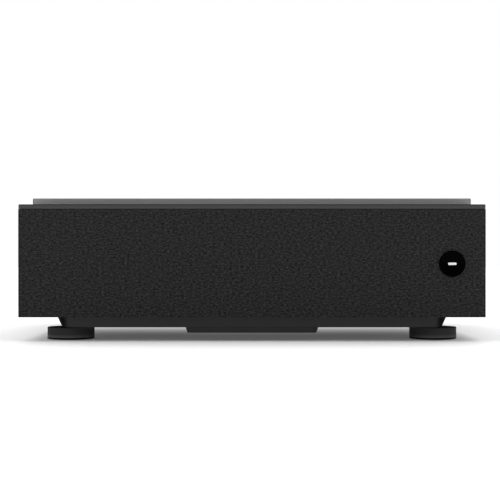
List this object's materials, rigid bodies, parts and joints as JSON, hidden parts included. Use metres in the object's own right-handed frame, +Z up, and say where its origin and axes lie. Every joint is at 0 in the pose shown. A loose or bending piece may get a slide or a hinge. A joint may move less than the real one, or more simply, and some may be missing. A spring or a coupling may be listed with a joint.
{
  "type": "ultra short throw home projector",
  "caption": "Low wide home projector with a cloth-covered front, a powered sliding roof over its lens well, side vents and round screw feet",
  "frame": {"origin": "on the floor, under the middle of the body", "axes": "+Z up, -Y is the cloth front towards the viewer, +Y faces the projection wall, +X is to the right seen from the front"},
  "size_m": [0.5, 0.3896, 0.157],
  "materials": {
    "shell_grey": "fine moulded texture",
    "trim_grey": "satin moulded rim",
    "roof_grey": "satin paint",
    "cloth": "dark heathered speaker cloth",
    "gloss_black": "polished",
    "emblem_silver": "satin",
    "base_black": "moulded",
    "pad_rubber": "matt",
    "brass": "turned",
    "steel": "ground",
    "inner_black": "moulded",
    "cast_alloy": "die-cast",
    "fin_alloy": "bare",
    "glass": "coated",
    "mirror": "aluminised",
    "board_green": "solder resist",
    "gear_white": "acetal",
    "wheel_alloy": "polished with phosphor track"
  },
  "bodies": {
    "body": {"base_tray": "base_black", "plinth": "base_black", "foot_inserts": "brass", "bottom_cover": "base_black", "tray_screws": "steel", "front_fabric": "cloth", "front_frame": "inner_black", "badge_disc": "gloss_black", "badge_emblem": "emblem_silver", "top_deck": "trim_grey", "side_cover_left": "shell_grey", "side_cover_right": "shell_grey", "rear_cover": "shell_grey", "guide_rods": "steel", "roof_brackets": "inner_black", "roof_motor": "steel", "lens_well": "inner_black", "lens_window": "glass", "lens_barrel": "cast_alloy", "focus_motor": "steel", "fold_housing": "cast_alloy", "front_lens": "glass", "concave_mirror": "mirror", "mirror_mount": "cast_alloy", "light_engine": "cast_alloy", "chip_board": "board_green", "wheel_housing": "cast_alloy", "laser_module": "cast_alloy", "laser_cooler": "fin_alloy", "fan_frames": "inner_black", "speakers": "inner_black", "supply_board": "board_green", "main_board": "board_green", "sockets": "steel", "mains_inlet": "inner_black", "button_switch": "inner_black"},
    "roof": {"roof_cover": "roof_grey", "roof_liner": "inner_black", "roof_carriages": "gear_white", "roof_racks": "gear_white"},
    "drive": {"drive_shaft": "steel", "drive_gears": "gear_white"},
    "motor_pinion": {"motor_pinion": "brass"},
    "focus_ring": {"focus_ring": "gear_white"},
    "focus_pinion": {"focus_pinion": "brass"},
    "focus_cell": {"focus_cell": "glass"},
    "phosphor_wheel": {"phosphor_wheel": "wheel_alloy"},
    "colour_wheel": {"colour_wheel": "wheel_alloy"},
    "power_button": {"power_button": "gloss_black"},
    "fan_left": {"fan_rotor_left": "inner_black"},
    "fan_right_front": {"fan_rotor_right_front": "inner_black"},
    "fan_right_rear": {"fan_rotor_right_rear": "inner_black"},
    "pad_front_left": {"pad_front_left": "pad_rubber"},
    "foot_front_left": {"foot_front_left": "base_black"},
    "pad_front_right": {"pad_front_right": "pad_rubber"},
    "foot_front_right": {"foot_front_right": "base_black"},
    "pad_rear_left": {"pad_rear_left": "pad_rubber"},
    "foot_rear_left": {"foot_rear_left": "base_black"},
    "pad_rear_right": {"pad_rear_right": "pad_rubber"},
    "foot_rear_right": {"foot_rear_right": "base_black"}
  },
  "joints": [
    {"name": "roof_slide", "type": "slide", "parent": "body", "child": "roof", "axis": [0, -1, 0], "range_m": [0, 0.1]},
    {"name": "drive_turn", "type": "hinge", "parent": "body", "child": "drive", "pos_m": [0, -0.006, 0.122], "axis": [1, 0, 0], "range_deg": [0, 718]},
    {"name": "motor_turn", "type": "hinge", "parent": "body", "child": "motor_pinion", "pos_m": [0, -0.0252, 0.122], "axis": [1, 0, 0], "range_deg": [-2150, 0]},
    {"name": "focus_turn", "type": "hinge", "parent": "body", "child": "focus_ring", "pos_m": [-0.075, 0.15, 0.062], "axis": [1, 0, 0], "range_deg": [-60.5, 60.5]},
    {"name": "focus_pinion_turn", "type": "hinge", "parent": "body", "child": "focus_pinion", "pos_m": [-0.075, 0.15, 0.098], "axis": [1, 0, 0], "range_deg": [-303, 303]},
    {"name": "focus_cell_slide", "type": "slide", "parent": "body", "child": "focus_cell", "axis": [1, 0, 0], "range_m": [-0.003, 0.003]},
    {"name": "phosphor_spin", "type": "hinge", "parent": "body", "child": "phosphor_wheel", "pos_m": [-0.15, 0.005, 0.086], "axis": [0, 1, 0], "continuous": true},
    {"name": "colour_spin", "type": "hinge", "parent": "body", "child": "colour_wheel", "pos_m": [-0.15, 0.005, 0.086], "axis": [0, 1, 0], "continuous": true},
    {"name": "fan_left_spin", "type": "hinge", "parent": "body", "child": "fan_left", "pos_m": [-0.234, 0.05, 0.0745], "axis": [1, 0, 0], "continuous": true},
    {"name": "fan_right_front_spin", "type": "hinge", "parent": "body", "child": "fan_right_front", "pos_m": [0.234, -0.06, 0.0745], "axis": [1, 0, 0], "continuous": true},
    {"name": "fan_right_rear_spin", "type": "hinge", "parent": "body", "child": "fan_right_rear", "pos_m": [0.234, 0.036, 0.0745], "axis": [1, 0, 0], "continuous": true},
    {"name": "power_press", "type": "slide", "parent": "body", "child": "power_button", "axis": [-1, 0, 0], "range_m": [0, 0.001], "stiffness_N_per_m": 600, "springref_m": -0.0005},
    {"name": "foot_front_left_lift", "type": "slide", "parent": "body", "child": "pad_front_left", "axis": [0, 0, -1], "range_m": [0, 0.006]},
    {"name": "foot_front_left_turn", "type": "hinge", "parent": "pad_front_left", "child": "foot_front_left", "pos_m": [-0.1996, -0.144, 0], "axis": [0, 0, -1], "range_deg": [0, 2162]},
    {"name": "foot_front_right_lift", "type": "slide", "parent": "body", "child": "pad_front_right", "axis": [0, 0, -1], "range_m": [0, 0.006]},
    {"name": "foot_front_right_turn", "type": "hinge", "parent": "pad_front_right", "child": "foot_front_right", "pos_m": [0.1996, -0.144, 0], "axis": [0, 0, -1], "range_deg": [0, 2162]},
    {"name": "foot_rear_left_lift", "type": "slide", "parent": "body", "child": "pad_rear_left", "axis": [0, 0, -1], "range_m": [0, 0.006]},
    {"name": "foot_rear_left_turn", "type": "hinge", "parent": "pad_rear_left", "child": "foot_rear_left", "pos_m": [-0.1996, 0.144, 0], "axis": [0, 0, -1], "range_deg": [0, 2162]},
    {"name": "foot_rear_right_lift", "type": "slide", "parent": "body", "child": "pad_rear_right", "axis": [0, 0, -1], "range_m": [0, 0.006]},
    {"name": "foot_rear_right_turn", "type": "hinge", "parent": "pad_rear_right", "child": "foot_rear_right", "pos_m": [0.1996, 0.144, 0], "axis": [0, 0, -1], "range_deg": [0, 2162]}
  ],
  "couplings": [
    {"joint": "drive_turn", "follows": "roof_slide", "rad_per_m": 125},
    {"joint": "motor_turn", "follows": "roof_slide", "rad_per_m": -375},
    {"joint": "focus_pinion_turn", "follows": "focus_cell_slide", "rad_per_m": -1745.3},
    {"joint": "focus_turn", "follows": "focus_cell_slide", "rad_per_m": 349.07},
    {"joint": "foot_front_left_turn", "follows": "foot_front_left_lift", "rad_per_m": 6283.2},
    {"joint": "foot_front_right_turn", "follows": "foot_front_right_lift", "rad_per_m": 6283.2},
    {"joint": "foot_rear_left_turn", "follows": "foot_rear_left_lift", "rad_per_m": 6283.2},
    {"joint": "foot_rear_right_turn", "follows": "foot_rear_right_lift", "rad_per_m": 6283.2}
  ]
}
